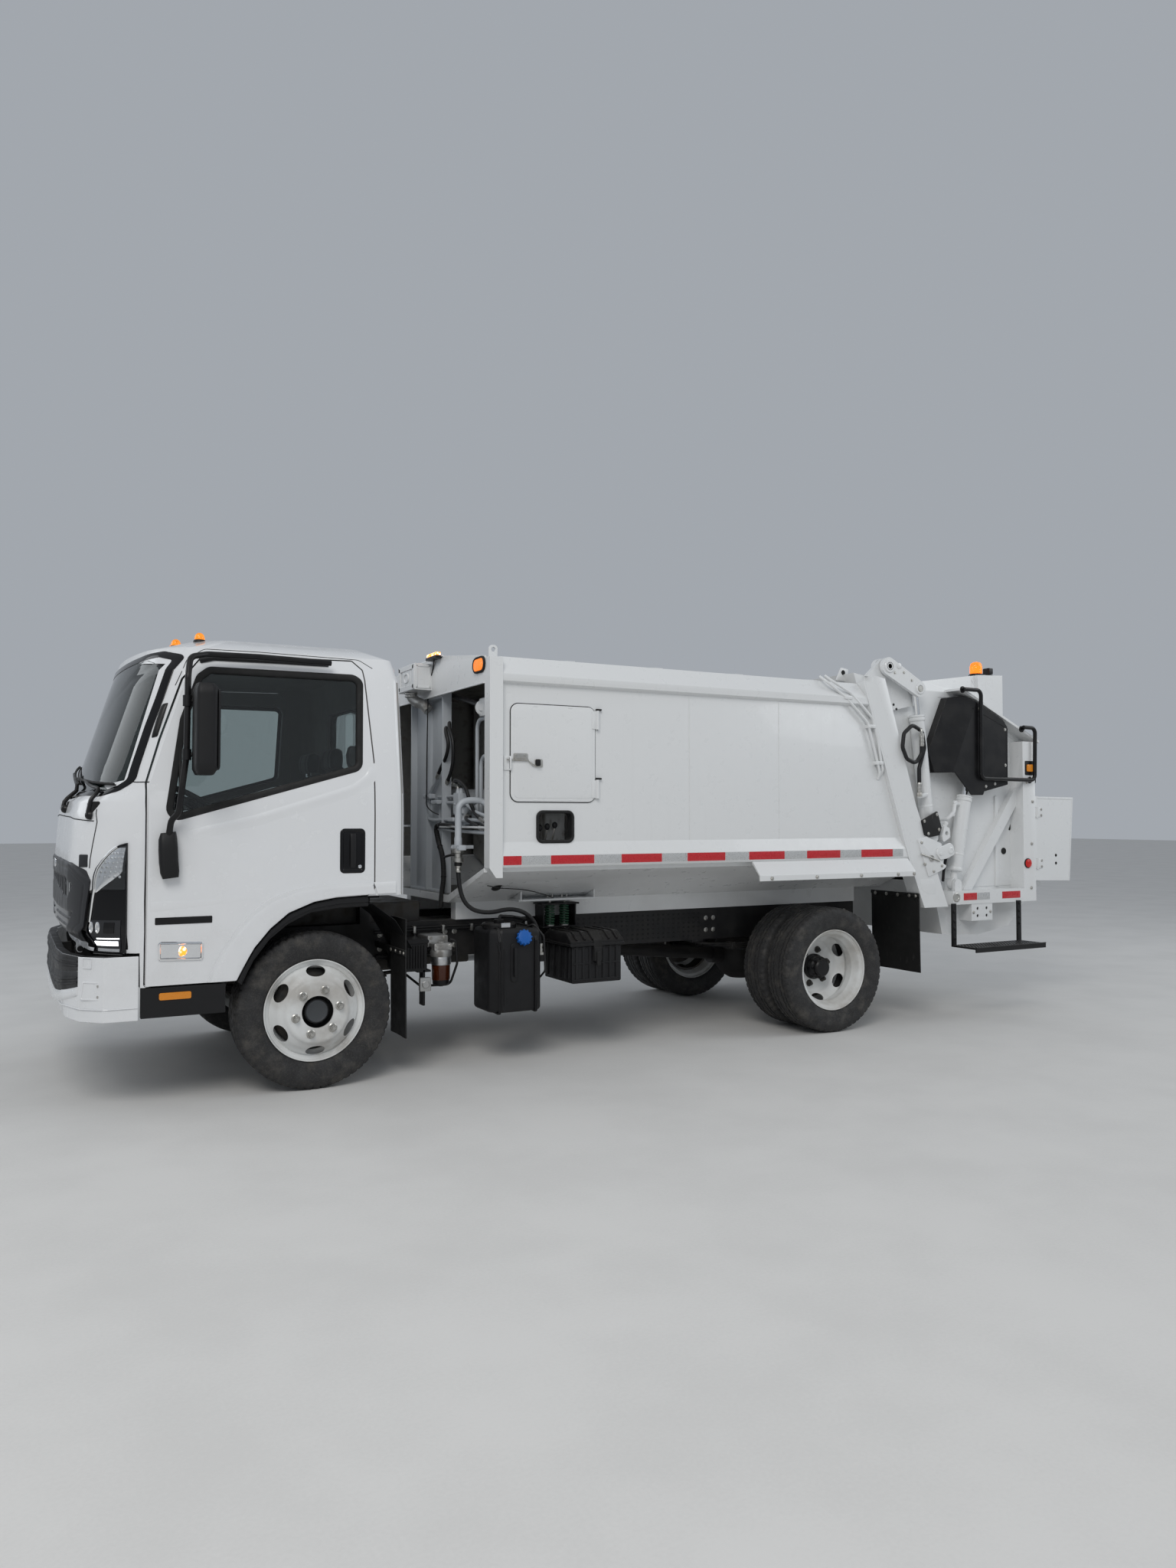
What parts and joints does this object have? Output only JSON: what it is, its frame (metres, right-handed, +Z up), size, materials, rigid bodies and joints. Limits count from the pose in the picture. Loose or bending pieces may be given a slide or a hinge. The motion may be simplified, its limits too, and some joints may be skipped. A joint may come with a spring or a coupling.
{
  "type": "garbage truck",
  "caption": "Low cab forward garbage truck with a small rear loading body, lifting tailgate, swinging packer blade, sliding ejector and tilting cab.",
  "frame": {"origin": "on the floor, on the centreline, midway between the front bumper and the tail", "axes": "+X forward, +Y to the driver's side, +Z up"},
  "size_m": [6.895, 2.58, 2.55],
  "materials": {
    "white_paint": "gloss",
    "black_paint": "satin",
    "green_paint": "satin",
    "black_plastic": "matte",
    "interior": "matte",
    "cast_iron": "rough",
    "aluminium": "satin",
    "steel_grey": "worn",
    "chrome_rod": "polished",
    "glass": "clear",
    "lamp_lens": "clear",
    "amber_lens": "gloss",
    "rubber": "matte",
    "tyre": "matte"
  },
  "bodies": {
    "chassis": {"frame": "black_paint", "front_axle": "black_paint", "leaf_springs": "black_paint", "rear_axle": "black_paint", "drive_shaft": "black_paint", "engine": "cast_iron", "fuel_tank": "aluminium", "battery_box": "black_paint", "def_tank": "black_plastic", "fuel_filter": "aluminium", "exhaust": "steel_grey", "front_bumper": "white_paint", "mud_flaps": "rubber", "fender_shelves": "white_paint", "body_shell": "white_paint", "body_floor": "white_paint", "body_front_frame": "white_paint", "hatch_pins": "black_paint", "rear_frame": "white_paint", "latch_plates": "white_paint", "body_mounts": "green_paint", "valve_block": "aluminium", "suction_hose": "rubber"},
    "cab": {"cab_shell": "white_paint", "arch_trims": "black_plastic", "cab_glass": "glass", "cab_interior": "interior", "grille": "black_plastic", "headlamps": "lamp_lens", "step_skirts": "black_plastic", "roof_lamps": "amber_lens"},
    "left_door": {"door_left": "white_paint", "door_glass_left": "glass", "mirror_left": "black_plastic"},
    "right_door": {"door_right": "white_paint", "door_glass_right": "glass", "mirror_right": "black_plastic"},
    "left_knuckle": {"knuckle_left": "cast_iron"},
    "right_knuckle": {"knuckle_right": "cast_iron"},
    "front_left_wheel": {"tyre_front_left": "tyre", "rim_front_left": "white_paint"},
    "front_right_wheel": {"tyre_front_right": "tyre", "rim_front_right": "white_paint"},
    "rear_left_wheels": {"tyres_rear_left": "tyre", "rims_rear_left": "white_paint"},
    "rear_right_wheels": {"tyres_rear_right": "tyre", "rims_rear_right": "white_paint"},
    "tailgate": {"tailgate": "white_paint", "side_covers": "black_plastic", "grab_rails": "black_paint", "rear_steps": "black_paint", "tail_beacons": "amber_lens"},
    "packer": {"packer_blade": "steel_grey"},
    "lift_barrels": {"lift_barrels": "white_paint", "lift_hoses": "rubber"},
    "lift_rods": {"lift_rods": "chrome_rod"},
    "packer_barrels": {"packer_barrels": "white_paint"},
    "packer_rods": {"packer_rods": "chrome_rod"},
    "ejector": {"ejector_panel": "steel_grey"},
    "hatch": {"hatch_door": "white_paint"}
  },
  "joints": [
    {"name": "cab_tilt", "type": "hinge", "parent": "chassis", "child": "cab", "pos_m": [3.3375, 0, 0.735], "axis": [0, 1, 0], "range_deg": [0, 45]},
    {"name": "left_door_swing", "type": "hinge", "parent": "cab", "child": "left_door", "pos_m": [3.0695, 0.985, 1.1], "axis": [0, 0, -1], "range_deg": [0, 65]},
    {"name": "right_door_swing", "type": "hinge", "parent": "cab", "child": "right_door", "pos_m": [3.0695, -0.985, 1.1], "axis": [0, 0, 1], "range_deg": [0, 65]},
    {"name": "left_steer", "type": "hinge", "parent": "chassis", "child": "left_knuckle", "pos_m": [2.2575, 0.742, 0.4055], "axis": [0, 0, 1], "range_deg": [-38, 38]},
    {"name": "right_steer", "type": "hinge", "parent": "chassis", "child": "right_knuckle", "pos_m": [2.2575, -0.742, 0.4055], "axis": [0, 0, 1], "range_deg": [-38, 38]},
    {"name": "front_left_spin", "type": "hinge", "parent": "left_knuckle", "child": "front_left_wheel", "pos_m": [2.2575, 0.833, 0.4055], "axis": [0, 1, 0], "continuous": true},
    {"name": "front_right_spin", "type": "hinge", "parent": "right_knuckle", "child": "front_right_wheel", "pos_m": [2.2575, -0.833, 0.4055], "axis": [0, 1, 0], "continuous": true},
    {"name": "rear_left_spin", "type": "hinge", "parent": "chassis", "child": "rear_left_wheels", "pos_m": [-1.1075, 0.825, 0.4055], "axis": [0, 1, 0], "continuous": true},
    {"name": "rear_right_spin", "type": "hinge", "parent": "chassis", "child": "rear_right_wheels", "pos_m": [-1.1075, -0.825, 0.4055], "axis": [0, 1, 0], "continuous": true},
    {"name": "tailgate_lift", "type": "hinge", "parent": "chassis", "child": "tailgate", "pos_m": [-1.5975, 0, 2.429], "axis": [0, 1, 0], "range_deg": [0, 85]},
    {"name": "lift_barrels_swing", "type": "hinge", "parent": "chassis", "child": "lift_barrels", "pos_m": [-1.9975, 1.01, 1.265], "axis": [0, 1, 0], "range_deg": [0, 2.74]},
    {"name": "lift_rods_slide", "type": "slide", "parent": "lift_barrels", "child": "lift_rods", "axis": [0.1171, 0, 0.9931], "range_m": [0, 0.417]},
    {"name": "packer_swing", "type": "hinge", "parent": "tailgate", "child": "packer", "pos_m": [-2.1925, 0, 1.95], "axis": [0, 1, 0], "range_deg": [0, 40]},
    {"name": "packer_barrels_swing", "type": "hinge", "parent": "tailgate", "child": "packer_barrels", "pos_m": [-2.2295, 1.01, 0.935], "axis": [0, -1, 0], "range_deg": [0, 2.58]},
    {"name": "packer_rods_slide", "type": "slide", "parent": "packer_barrels", "child": "packer_rods", "axis": [-0.1961, 0, 0.9806], "range_m": [0, 0.1892]},
    {"name": "ejector_slide", "type": "slide", "parent": "chassis", "child": "ejector", "axis": [-1, 0, 0], "range_m": [0, 1.9]},
    {"name": "hatch_swing", "type": "hinge", "parent": "chassis", "child": "hatch", "pos_m": [0.6615, 1.052, 1.765], "axis": [0, 0, 1], "range_deg": [0, 170]}
  ],
  "couplings": [
    {"joint": "right_steer", "follows": "left_steer", "ratio": 1},
    {"joint": "lift_barrels_swing", "follows": "tailgate_lift", "ratio": 0.032141},
    {"joint": "lift_rods_slide", "follows": "tailgate_lift", "m_per_rad": 0.28075},
    {"joint": "packer_barrels_swing", "follows": "packer_swing", "ratio": 0.064315},
    {"joint": "packer_rods_slide", "follows": "packer_swing", "m_per_rad": 0.27073}
  ]
}
